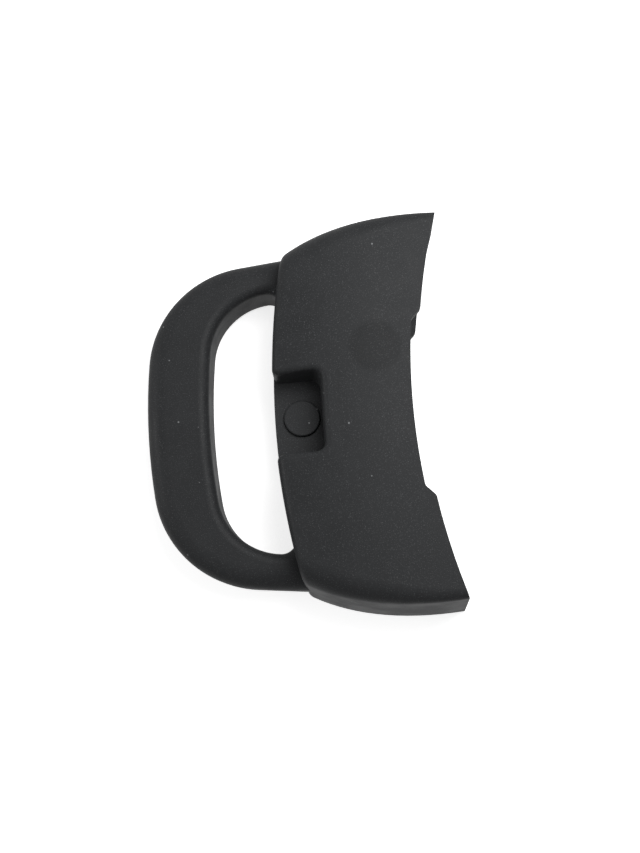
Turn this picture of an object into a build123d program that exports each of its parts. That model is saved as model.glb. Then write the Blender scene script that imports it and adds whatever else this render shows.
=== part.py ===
from build123d import *
import os

# A moulded loop handle for the side of a round vessel. A grip loop stands out from a hollow
# hood, whose hollow-ground rim bears on the vessel wall. One screw through the spine of the
# hood fixes it to a flat bracket tongue, and a small pressed-in cover closes the screw hole
# from the top.
# Origin: on the screw axis, at the face where the bracket tongue seats, halfway up the handle.
# +X points to the vessel, +Y across the handle, +Z up, out of the face with the pocket.
# Sizes are in millimetres.

# grip loop
grip_reach = 53.0            # screw axis to the outermost point of the grip
loop_half_width = 52.8       # middle to the outer side of an arm, at the grip
root_half_width = 58.0       # the same, where the arm ends inside the hood
loop_corner_radius = 37.0    # outer corner of the loop, in plan
crown_radius = 206.0         # slow bow of the grip's outer side
grip_width = 21.5            # grip, outer side to finger side
finger_half_width = 43.4     # middle to the finger side of an arm, at the grip
finger_root_half_width = 45.2  # the same, at the hood
arm_end_x = 2.8              # arms end here, inside the hood
loop_half_height = 10.0      # half the height of grip and arms
finger_corner_radius = 22.0  # finger opening, corners at the grip
web_corner_radius = 5.0      # finger opening, corners at the hood
outer_edge_radius = 7.0      # rounding of the loop's outer edges
inner_edge_radius = 3.4      # rounding of the finger side's edges
root_depth = 0.4             # finger opening's corners reach this far into the hood

# hood
spine_x = -9.2               # finger side of the hood's spine, at the middle
spine_half_width = 46.5      # top of the hood, just short of the spine
spine_top_z = 16.5
spine_run_on = 5.0           # loft of the hood starts this far short of the spine
haunch_x = -2.2              # where the top of the hood has risen most of its way
haunch_half_width = 55.0
haunch_top_z = 21.8
haunch_edge_radius = 9.0     # rounding of the top's edges at the haunch
top_edge_radius = 8.0        # the same at the spine and the shoulder
rim_edge_radius = 2.0        # the same at the rim
spine_bow_radius = 250.0     # bow of that side, in plan
spine_edge_radius = 4.0      # rounding round that side
hood_top_z = 25.0            # top of the hood, from the middle of the grip
hood_base_z = -10.0          # flat underside, level with the grip's
skirt_flare = 3.8            # each end wall leans out this far towards the base
shoulder_x = 14.0            # where the hood is close to its full height
shoulder_half_width = 61.2
shoulder_drop = 0.4          # top there, below the top at the rim
rim_half_width = 63.0        # top of the hood, at its rim
wall = 3.0                   # wall of the hood's skirt
hollow_corner_radius = 3.0
hollow_start_x = 12.0        # closed end of the hollow
hollow_inset = 1.0           # hollow's closed end is this much tighter than the wall asks
rim_x = 39.3                 # rim of the hood at the middle, if it had no relief
rim_run_on = 17.0            # lofts end this far beyond it, before the vessel is cut away
vessel_radius = 210.0        # vessel wall that the rim bears on
relief_depth = 2.8           # middle of the rim stands clear of the vessel
relief_half_width = 28.5
relief_corner_radius = 2.2
rib_y = 24.0                 # stiffening ribs inside the hood
rib_thickness = 2.6
rib_setback = 9.0            # ribs end this far inside the rim

# fixing
screw_hole_radius = 4.25     # clearance hole for an M8 screw
tongue_width = 26.0          # flat bracket tongue of the vessel
tongue_thickness = 3.6
tongue_gap = 0.2             # clearance all round the tongue
tongue_end_x = -7.0          # how far in the tongue's slot reaches

# pocket and screw cover
pocket_floor_z = 8.0
pocket_wall_x = 6.8
pocket_half_width = 12.7
pocket_corner_radius = 3.0
pocket_draft = 3.0           # degrees
pocket_run_out = 10.0        # pocket's cut starts this far outside the spine
pocket_rim_radius = 2.2
cover_radius = 6.1
cover_gap = 0.15             # clearance round the cover
cover_seat_depth = 2.0       # cover sits this far into the pocket floor
cover_proud = 1.4            # and stands this far out of it
cover_edge_radius = 0.5

SMALL = 0.01
REACH = 200.0                # longer than any cut needs to be


def cross_section(x, half_width, top_z, base_z, top_radius):
    """Section across the hood at this distance along X, wider at its base than at its top."""
    flare = skirt_flare * (top_z - base_z) / (hood_top_z - hood_base_z)
    base_half_width = half_width + flare
    section = make_face(Polyline(
        (half_width, top_z), (-half_width, top_z), (-base_half_width, base_z),
        (base_half_width, base_z), close=True,
    ))
    section = fillet([v for v in section.vertices() if v.Y > base_z + SMALL], top_radius)
    return Plane(origin=(x, 0, 0), x_dir=(0, 1, 0), z_dir=(1, 0, 0)) * section


def hood_form():
    """Flared hood, lofted along X from its soft, low spine to its crisp rim."""
    return loft([
        cross_section(spine_x - spine_run_on, spine_half_width, spine_top_z,
                      hood_base_z, top_edge_radius),
        cross_section(haunch_x, haunch_half_width, haunch_top_z,
                      hood_base_z, haunch_edge_radius),
        cross_section(shoulder_x, shoulder_half_width, hood_top_z - shoulder_drop,
                      hood_base_z, top_edge_radius),
        cross_section(rim_x + rim_run_on, rim_half_width, hood_top_z,
                      hood_base_z, rim_edge_radius),
    ])


def slab(sketch, low, high):
    """Straight block over a plan, from height low to height high."""
    return extrude(Pos(0, 0, low) * sketch, amount=high - low)


def spine_plan():
    """Everything on the grip's side of the hood's bowed spine."""
    centre_x = spine_x + spine_bow_radius
    beyond = Pos(centre_x - REACH, 0) * Rectangle(2 * REACH, 2 * REACH)
    return beyond - Pos(centre_x, 0) * Circle(spine_bow_radius)


def vessel_side():
    """Vessel wall, with the relief that keeps the middle of the rim clear of it."""
    centre_x = rim_x + vessel_radius
    vessel = Pos(centre_x, 0) * Circle(vessel_radius)
    relief = Pos(centre_x, 0) * Circle(vessel_radius + relief_depth)
    spread = relief_half_width + vessel_radius
    relief &= make_face(Polyline((rim_x - relief_half_width, 0), (rim_x + vessel_radius, spread),
                                 (rim_x + vessel_radius, -spread), close=True))
    body = slab(vessel + relief, -REACH / 2, REACH / 2)
    steps = [e for e in body.edges().filter_by(Axis.Z) if e.center().X < centre_x - REACH]
    return fillet(steps, relief_corner_radius)


def hood():
    """Outer form of the hood, with its spine trimmed to a slow bow and rounded."""
    body = hood_form() - slab(spine_plan(), -REACH / 2, REACH / 2)
    spine_edges = [e for e in body.edges() if e.bounding_box().max.X < 0]
    upper_edges = [e for e in spine_edges if e.center().Z > hood_base_z + SMALL]
    return fillet(upper_edges, spine_edge_radius)


def crown_plan(reach, half_width, end_half_width, end_x, corner_radius):
    """Bowed crown with rounded corners and sides that spread a little, up to end_x."""
    bow = crown_radius - (crown_radius**2 - half_width**2) ** 0.5
    corner_x = bow - reach
    crown = ThreePointArc((corner_x, -half_width), (-reach, 0), (corner_x, half_width))
    sides = Polyline((corner_x, half_width), (end_x, end_half_width), (end_x, -end_half_width),
                     (corner_x, -half_width))
    plan = make_face([crown, sides])
    corners = [v for v in plan.vertices() if v.X < corner_x + SMALL]
    return fillet(corners, corner_radius)


def grip_loop():
    """Grip and its two arms, which end inside the hood, with the long edges rounded."""
    outer = crown_plan(grip_reach, loop_half_width, root_half_width, arm_end_x,
                       loop_corner_radius)
    spine_bow = spine_bow_radius - (spine_bow_radius**2 - finger_root_half_width**2) ** 0.5
    end_x = spine_x + spine_bow + root_depth
    opening = crown_plan(grip_reach - grip_width, finger_half_width, finger_root_half_width,
                         end_x, finger_corner_radius)
    opening = slab(opening, -REACH / 2, REACH / 2)
    uprights = opening.edges().filter_by(Axis.Z)
    web_corners = [e for e in uprights if abs(e.center().X - end_x) < SMALL]
    opening = fillet(web_corners, web_corner_radius)
    loop = slab(outer, -loop_half_height, loop_half_height)
    rims = loop.faces().filter_by(Axis.Z).edges()
    loop = fillet([e for e in rims if e.bounding_box().min.X < spine_x], outer_edge_radius)
    loop -= opening
    flats = loop.faces().filter_by(Axis.Z)
    finger_edges = [e for f in flats for w in f.inner_wires() for e in w.edges()]
    return fillet(finger_edges, inner_edge_radius)


def hollow():
    """Space inside the hood, open to the vessel, in three bays between two ribs."""
    ceiling_z = hood_top_z - wall
    floor_z = hood_base_z + wall
    back = cross_section(hollow_start_x, shoulder_half_width - wall - hollow_inset,
                         ceiling_z - hollow_inset, floor_z, hollow_corner_radius)
    mouth = cross_section(rim_x + rim_run_on, rim_half_width - wall,
                          ceiling_z, floor_z, hollow_corner_radius)
    space = loft([back, mouth], ruled=True)
    rib_end_x = rim_x - relief_depth - rib_setback
    for side in (-1, 1):
        length = rib_end_x - hollow_start_x + wall / 2
        rib_middle_x = rib_end_x - length / 2
        space -= Pos(rib_middle_x, side * rib_y, 0) * Box(length, rib_thickness, REACH)
    return space


def tongue_slot():
    """Slot in the spine for the bracket's tongue, closed at the screw's far side."""
    length = hollow_start_x + wall / 2 - tongue_end_x
    height = tongue_thickness + tongue_gap
    width = tongue_width + 2 * tongue_gap
    return Pos(tongue_end_x + length / 2, 0, height / 2) * Box(length, width, height)


def screw_hole():
    """Screw's clearance hole, from the hood's base up to the cover's seat."""
    top_z = pocket_floor_z - cover_seat_depth
    length = top_z - hood_base_z
    return Pos(0, 0, top_z - length / 2) * Cylinder(screw_hole_radius, length + SMALL)


def cover_seat():
    """Round seat of the screw cover in the pocket floor."""
    seat = Cylinder(cover_radius + cover_gap, 2 * cover_seat_depth)
    return Pos(0, 0, pocket_floor_z) * seat


def pocket():
    """Drafted pocket in the top of the spine, open to the finger opening."""
    length = pocket_wall_x - spine_x + pocket_run_out
    floor = Pos(pocket_wall_x - length / 2, 0) * Rectangle(length, 2 * pocket_half_width)
    block = Pos(0, 0, pocket_floor_z) * extrude(floor, amount=2 * hood_top_z, taper=-pocket_draft)
    corners = [e for e in block.edges() if abs(e.tangent_at(0.5).Z) > 0.9 and e.center().X > 0]
    return fillet(corners, pocket_corner_radius)


def cut_pocket(body):
    """Cuts the pocket and rounds its rim, all but the mouth in the spine."""
    body -= pocket()
    reach_x = pocket_wall_x + pocket_rim_radius
    reach_y = pocket_half_width + pocket_rim_radius
    near = body.edges().filter_by_position(Axis.X, spine_x + pocket_rim_radius / 2, reach_x)
    near = near.filter_by_position(Axis.Y, -reach_y, reach_y)
    upper = [e for e in near if e.center().Z > 2 * pocket_floor_z]
    rim = [e for e in upper if e.bounding_box().size.Z < pocket_floor_z]
    return fillet(rim, pocket_rim_radius)


def handle_moulding():
    """The whole moulding: hood and loop in one, hollowed and cut for its fixing."""
    body = hood() - vessel_side()
    body -= hollow()
    body += grip_loop()
    body -= tongue_slot()
    body -= screw_hole()
    body = cut_pocket(body)
    body -= cover_seat()
    return body


def screw_cover():
    """Round cover pressed into the pocket floor over the screw hole."""
    height = cover_seat_depth + cover_proud
    cover = Cylinder(cover_radius, height)
    cover = Pos(0, 0, pocket_floor_z - cover_seat_depth + height / 2) * cover
    top = cover.faces().sort_by(Axis.Z)[-1]
    return fillet(top.edges(), cover_edge_radius)


os.makedirs("parts", exist_ok=True)
export_step(handle_moulding(), "parts/handle_moulding.step")
export_step(screw_cover(), "parts/screw_cover.step")
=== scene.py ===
import bpy
import math
from mathutils import Matrix, Vector


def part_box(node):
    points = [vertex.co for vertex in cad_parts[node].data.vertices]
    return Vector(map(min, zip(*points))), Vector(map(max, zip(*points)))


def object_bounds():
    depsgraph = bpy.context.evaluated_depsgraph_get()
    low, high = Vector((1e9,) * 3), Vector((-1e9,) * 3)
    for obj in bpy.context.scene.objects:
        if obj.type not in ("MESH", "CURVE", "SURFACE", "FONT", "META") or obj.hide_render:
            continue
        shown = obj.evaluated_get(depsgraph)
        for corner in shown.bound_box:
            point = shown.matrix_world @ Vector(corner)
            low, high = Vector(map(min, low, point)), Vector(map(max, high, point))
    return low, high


# Loop side handle for a round vessel: a grip loop and a hollow hood moulded in one piece of
# dark, fine-grained plastic, and a small round cover pressed in over the screw hole.

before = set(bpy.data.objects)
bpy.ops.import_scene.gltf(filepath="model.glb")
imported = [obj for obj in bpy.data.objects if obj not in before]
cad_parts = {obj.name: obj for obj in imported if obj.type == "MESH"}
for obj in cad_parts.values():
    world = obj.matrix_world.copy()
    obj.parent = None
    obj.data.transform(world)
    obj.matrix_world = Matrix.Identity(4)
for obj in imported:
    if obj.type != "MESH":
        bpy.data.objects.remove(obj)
cad_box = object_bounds()


# --- handle moulding ---------------------------------------------------------------------
# Charcoal moulding compound with a fine mineral filler. The skin is dull, shows the filler
# as tiny pale specks, and has the mottling and slow waviness of a worn mould. On top of the
# hood, beside the relief of its rim, a round disc is painted darker: painted shade of a
# shallow sink in the skin, which the shape itself doesn't have.

charcoal = (0.0250, 0.0259, 0.0272)
filler_pale = (0.085, 0.088, 0.091)
dust_pale = (0.170, 0.175, 0.180)
darkest_share = 0.92             # the base colour is mottled between these shares of itself
lightest_share = 1.07
moulding_roughness = 0.50
roughness_swing = 0.05           # mottling changes the roughness this much either way
plastic_ior = 1.5
skin_gloss = 0.10                # low, because the skin is unpolished
bump_strength = 0.35
bump_height = 0.0002             # metres
# Painted shade: a round disc on top of the hood, multiplied darker by this factor, stands for the
# shade of a shallow sink that the shape doesn't have.
sink_shade_disc = {"centre": (0.0258, 0.0193), "radius": 0.0084, "soft": 0.0014, "shade_factor": 0.75}


def new_group(name, inputs, outputs):
    """Empty node group with these named inputs and outputs."""
    group = bpy.data.node_groups.new(name, "ShaderNodeTree")
    for label, kind in inputs:
        group.interface.new_socket(label, in_out="INPUT", socket_type=kind)
    for label, kind in outputs:
        group.interface.new_socket(label, in_out="OUTPUT", socket_type=kind)
    return group


def noise_node(nodes, links, vector, scale, detail, roughness):
    """Noise over this vector, at this scale per metre."""
    noise = nodes.new("ShaderNodeTexNoise")
    noise.inputs["Scale"].default_value = scale
    noise.inputs["Detail"].default_value = detail
    noise.inputs["Roughness"].default_value = roughness
    links.new(vector, noise.inputs["Vector"])
    return noise.outputs["Fac"]


def ramp_node(nodes, links, value, low, high, low_out=0.0, high_out=1.0):
    """Smooth step of a value between low and high."""
    step = nodes.new("ShaderNodeMapRange")
    step.interpolation_type = "SMOOTHSTEP"
    step.inputs["From Min"].default_value = low
    step.inputs["From Max"].default_value = high
    step.inputs["To Min"].default_value = low_out
    step.inputs["To Max"].default_value = high_out
    links.new(value, step.inputs["Value"])
    return step.outputs["Result"]


def math_node(nodes, links, operation, first, second):
    """Arithmetic on a socket and a second socket or number."""
    node = nodes.new("ShaderNodeMath")
    node.operation = operation
    links.new(first, node.inputs[0])
    if isinstance(second, float):
        node.inputs[1].default_value = second
    else:
        links.new(second, node.inputs[1])
    return node.outputs["Value"]


def mix_node(nodes, links, factor, under, over):
    """Mix of a colour or socket under, and a colour over it, by a factor socket."""
    mix = nodes.new("ShaderNodeMix")
    mix.data_type = "RGBA"
    if isinstance(under, tuple):
        mix.inputs["A"].default_value = (*under, 1)
    else:
        links.new(under, mix.inputs["A"])
    mix.inputs["B"].default_value = (*over, 1)
    links.new(factor, mix.inputs["Factor"])
    return mix


def make_grain_group():
    """Grain of the compound: filler specks, stray dust, mottling and the skin's height."""
    speck_scale = 3400.0         # all scales are per metre
    dust_scale = 120.0
    mottle_scale = 95.0
    pebble_scale = 1150.0
    wave_scale = 42.0
    pebble_share = 0.35
    wave_share = 0.9
    group = new_group(
        "filler_grain",
        [("Vector", "NodeSocketVector")],
        [("Specks", "NodeSocketFloat"), ("Dust", "NodeSocketFloat"),
         ("Mottle", "NodeSocketFloat"), ("Height", "NodeSocketFloat")],
    )
    nodes = group.nodes
    links = group.links
    source = nodes.new("NodeGroupInput").outputs["Vector"]
    out = nodes.new("NodeGroupOutput")

    fine = noise_node(nodes, links, source, speck_scale, 2.0, 0.6)
    specks = ramp_node(nodes, links, fine, 0.58, 0.72)
    scattered = nodes.new("ShaderNodeTexVoronoi")
    scattered.inputs["Scale"].default_value = dust_scale
    links.new(source, scattered.inputs["Vector"])
    dust = ramp_node(nodes, links, scattered.outputs["Distance"], 0.030, 0.048, 1.0, 0.0)
    broad = noise_node(nodes, links, source, mottle_scale, 5.0, 0.62)
    mottle = ramp_node(nodes, links, broad, 0.30, 0.72)
    pebble = noise_node(nodes, links, source, pebble_scale, 3.0, 0.55)
    wave = noise_node(nodes, links, source, wave_scale, 2.0, 0.5)
    pebble_height = math_node(nodes, links, "MULTIPLY", pebble, pebble_share)
    wave_height = math_node(nodes, links, "MULTIPLY", wave, wave_share)
    height = math_node(nodes, links, "ADD", pebble_height, wave_height)

    links.new(specks, out.inputs["Specks"])
    links.new(dust, out.inputs["Dust"])
    links.new(mottle, out.inputs["Mottle"])
    links.new(height, out.inputs["Height"])
    return group


grain_group = make_grain_group()


def disc_mask(nodes, links, vector, centre, radius, soft):
    """One within a round patch about an upright axis and zero outside it, with a soft edge."""
    flat = nodes.new("ShaderNodeVectorMath")
    flat.operation = "MULTIPLY"
    flat.inputs[1].default_value = (1, 1, 0)
    links.new(vector, flat.inputs[0])
    away = nodes.new("ShaderNodeVectorMath")
    away.operation = "DISTANCE"
    away.inputs[1].default_value = (*centre, 0)
    links.new(flat.outputs["Vector"], away.inputs[0])
    return ramp_node(nodes, links, away.outputs["Value"], radius - soft, radius + soft, 1.0, 0.0)


def compound_material(name, base, roughness, shade_disc=None):
    """Filled compound: mottled base colour, pale specks, stray dust, a pebbled skin and, when a
    disc is given, painted shade multiplied into the colour there.
    """
    material = bpy.data.materials.new(name)
    material.use_nodes = True
    nodes = material.node_tree.nodes
    links = material.node_tree.links
    shader = nodes["Principled BSDF"]
    shader.inputs["IOR"].default_value = plastic_ior
    shader.inputs["Specular IOR Level"].default_value = skin_gloss

    place = nodes.new("ShaderNodeTexCoord").outputs["Object"]
    grain = nodes.new("ShaderNodeGroup")
    grain.node_tree = grain_group
    links.new(place, grain.inputs["Vector"])

    darkest = tuple(channel * darkest_share for channel in base)
    lightest = tuple(channel * lightest_share for channel in base)
    mottled = mix_node(nodes, links, grain.outputs["Mottle"], darkest, lightest)
    speckled = mix_node(nodes, links, grain.outputs["Specks"], mottled.outputs["Result"],
                        filler_pale)
    surface = mix_node(nodes, links, grain.outputs["Dust"], speckled.outputs["Result"],
                       dust_pale)
    # Painted shade: within the given disc the colour is multiplied darker, for a shallow sink
    # that the shape doesn't have.
    if shade_disc:
        shaded_patch = disc_mask(nodes, links, place, shade_disc["centre"], shade_disc["radius"], shade_disc["soft"])
        surface = mix_node(nodes, links, shaded_patch, surface.outputs["Result"], (shade_disc["shade_factor"],) * 3)
        surface.blend_type = "MULTIPLY"
    links.new(surface.outputs["Result"], shader.inputs["Base Color"])

    rough = ramp_node(nodes, links, grain.outputs["Mottle"], 0.0, 1.0,
                      roughness - roughness_swing, roughness + roughness_swing)
    links.new(rough, shader.inputs["Roughness"])

    bump = nodes.new("ShaderNodeBump")
    bump.inputs["Strength"].default_value = bump_strength
    bump.inputs["Distance"].default_value = bump_height
    links.new(grain.outputs["Height"], bump.inputs["Height"])
    links.new(bump.outputs["Normal"], shader.inputs["Normal"])
    return material


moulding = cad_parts["handle_moulding"]
moulding.data.materials.clear()
# The moulding's colour holds the painted shade disc on top of the hood.
moulding.data.materials.append(
    compound_material("moulding_skin_and_painted_shade", charcoal, moulding_roughness, sink_shade_disc))


# --- screw cover -------------------------------------------------------------------------
# Round cover of the same compound, a little darker and smoother, pressed into the floor of
# the pocket over the screw.

cover_black = (0.0238, 0.0248, 0.0260)
cover_roughness = 0.46
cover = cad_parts["screw_cover"]
cover.data.materials.clear()
cover.data.materials.append(compound_material("cover_skin", cover_black, cover_roughness))


# --- floor -------------------------------------------------------------------------------
# White seamless ground that the handle lies on. It keeps the handle's soft shadow, because
# only part of its white is its own, and it throws little light up on the handle.

low, high = (Vector(corner) for corner in cad_box)
floor_size = 6.0
floor_gap = 0.0002               # the floor lies this far below the handle's base
own_white = 0.78
lit_white = 0.86
bounce_grey = 0.12               # the floor's colour for the light that it throws up
floor_roughness = 0.9
floor_gloss = 0.1

bpy.ops.object.select_all(action="DESELECT")
bpy.ops.mesh.primitive_plane_add(size=floor_size, location=(0, 0, low.z - floor_gap))
floor = bpy.context.active_object
floor.name = "floor"
bpy.ops.object.transform_apply(location=True, rotation=True, scale=True)
floor_material = bpy.data.materials.new("floor_white")
floor_material.use_nodes = True
floor_nodes = floor_material.node_tree.nodes
floor_links = floor_material.node_tree.links
floor_shader = floor_nodes["Principled BSDF"]
floor_shader.inputs["Roughness"].default_value = floor_roughness
floor_shader.inputs["Specular IOR Level"].default_value = floor_gloss
floor_shader.inputs["Emission Color"].default_value = (1, 1, 1, 1)


def by_ray(nodes, links, seen, mirrored, lighting):
    """One value for what the camera sees, one for reflections and one for light on the object."""
    path = nodes.new("ShaderNodeLightPath")
    mirror = math_node(nodes, links, "MAXIMUM", path.outputs["Is Glossy Ray"],
                       path.outputs["Is Transmission Ray"])
    unseen = ramp_node(nodes, links, mirror, 0.0, 1.0, lighting, mirrored)
    choice = nodes.new("ShaderNodeMix")
    choice.inputs["B"].default_value = seen
    links.new(unseen, choice.inputs["A"])
    links.new(path.outputs["Is Camera Ray"], choice.inputs["Factor"])
    return choice.outputs["Result"]


floor_links.new(by_ray(floor_nodes, floor_links, own_white, own_white, 0.0),
                floor_shader.inputs["Emission Strength"])
floor_colour = floor_nodes.new("ShaderNodeCombineColor")
floor_tone = by_ray(floor_nodes, floor_links, lit_white, bounce_grey, bounce_grey)
for channel in ("Red", "Green", "Blue"):
    floor_links.new(floor_tone, floor_colour.inputs[channel])
floor_links.new(floor_colour.outputs["Color"], floor_shader.inputs["Base Color"])
floor.data.materials.append(floor_material)


# --- camera ------------------------------------------------------------------------------
# Looks down on the handle from a little beyond its -Y arm, with the handle turned a few
# degrees in view.

lens = 64.9                      # millimetres, on a sensor of the width below
sensor_width = 36.0
distance = 0.388                 # metres, to the level of the screw cover's top
pitch = math.radians(10.1)       # tilt from straight above, towards the -Y arm
yaw = math.radians(1.0)
roll = math.radians(-4.2)
aside = 0.0060                   # middle of the view, right of the cover's middle
below = 0.0028                   # and below it
nearest = 0.01

camera_data = bpy.data.cameras.new("camera")
camera_data.sensor_fit = "HORIZONTAL"
camera_data.sensor_width = sensor_width
camera_data.lens = lens
camera_data.clip_start = nearest
camera = bpy.data.objects.new("camera", camera_data)
bpy.context.scene.collection.objects.link(camera)
cover_low, cover_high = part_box("screw_cover")
cover_top = Vector((0, 0, cover_high[2]))
turn = (Matrix.Rotation(pitch, 3, "X") @ Matrix.Rotation(yaw, 3, "Y")
        @ Matrix.Rotation(roll, 3, "Z"))
right, up, back = (turn.col[i] for i in range(3))
place = cover_top + right * aside - up * below + back * distance
camera.matrix_world = Matrix.Translation(place) @ turn.to_4x4()
bpy.context.scene.camera = camera


# --- lights ------------------------------------------------------------------------------
# A soft light above the hood, a low one from the grip's side that catches the rounded
# edges, and a white room that gives a weak, even light.

key_offset = Vector((0.12, 0.09, 0.26))
key_size = 0.20
key_power = 0.84
edge_offset = Vector((-0.50, 0.05, 0.13))
edge_size = 0.15
edge_power = 0.55
room_white = 1.0
room_light = 0.22


def soft_light(name, place, aim, size, power):
    """Square soft light at a place, aimed at a point."""
    data = bpy.data.lights.new(name, "AREA")
    data.size = size
    data.energy = power
    light = bpy.data.objects.new(name, data)
    bpy.context.scene.collection.objects.link(light)
    light.location = place
    light.rotation_euler = (aim - place).to_track_quat("-Z", "Y").to_euler()


centre = (low + high) / 2
soft_light("key", centre + key_offset, centre, key_size, key_power)
soft_light("edge", centre + edge_offset, centre, edge_size, edge_power)

world = bpy.data.worlds.new("room")
world.use_nodes = True
bpy.context.scene.world = world
world_nodes = world.node_tree.nodes
world_links = world.node_tree.links
background = world_nodes["Background"]
background.inputs["Color"].default_value = (1, 1, 1, 1)
world_links.new(by_ray(world_nodes, world_links, room_white, room_white, room_light),
                background.inputs["Strength"])

bpy.context.scene.view_settings.view_transform = "Standard"
